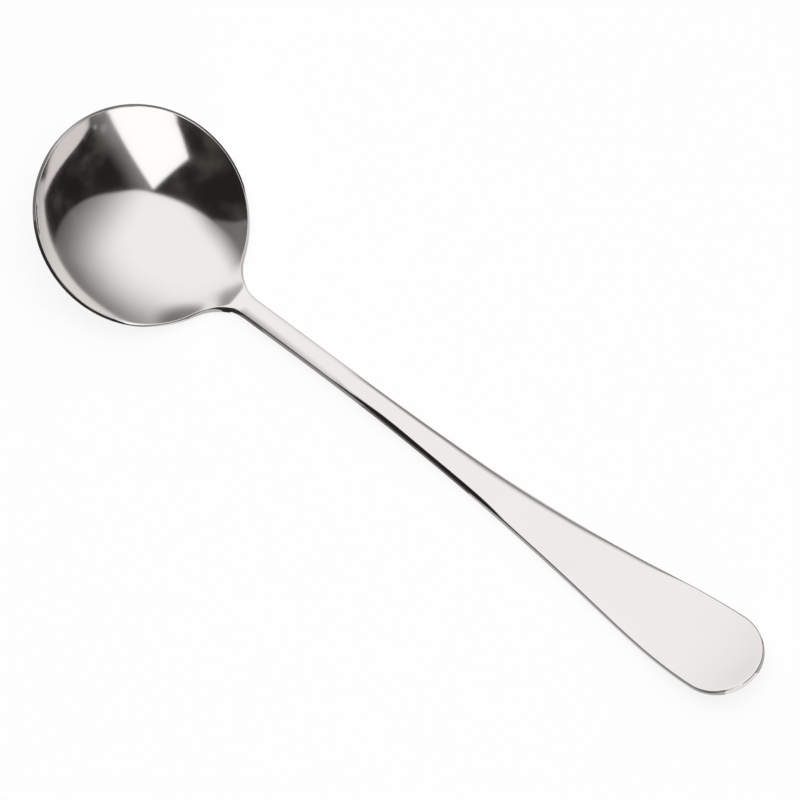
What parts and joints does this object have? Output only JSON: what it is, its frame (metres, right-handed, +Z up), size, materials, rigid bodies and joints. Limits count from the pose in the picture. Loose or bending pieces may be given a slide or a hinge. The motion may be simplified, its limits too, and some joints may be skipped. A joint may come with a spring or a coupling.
{
  "type": "dessert spoon",
  "caption": "Polished steel spoon with a round shallow bowl, a narrow neck and a flat handle that flares to a rounded, upturned end.",
  "frame": {"origin": "on the table that the spoon lies on, under the middle of its length and width", "axes": "+X along the handle, from the bowl's tip to the handle's end; +Y across the spoon; +Z up, out of the bowl's hollow"},
  "size_m": [0.1786, 0.045, 0.0199],
  "materials": {
    "polished_steel": "stainless steel, polished nearly to a mirror, with a faint satin haze"
  },
  "bodies": {
    "root": {"spoon": "polished_steel"}
  },
  "joints": []
}
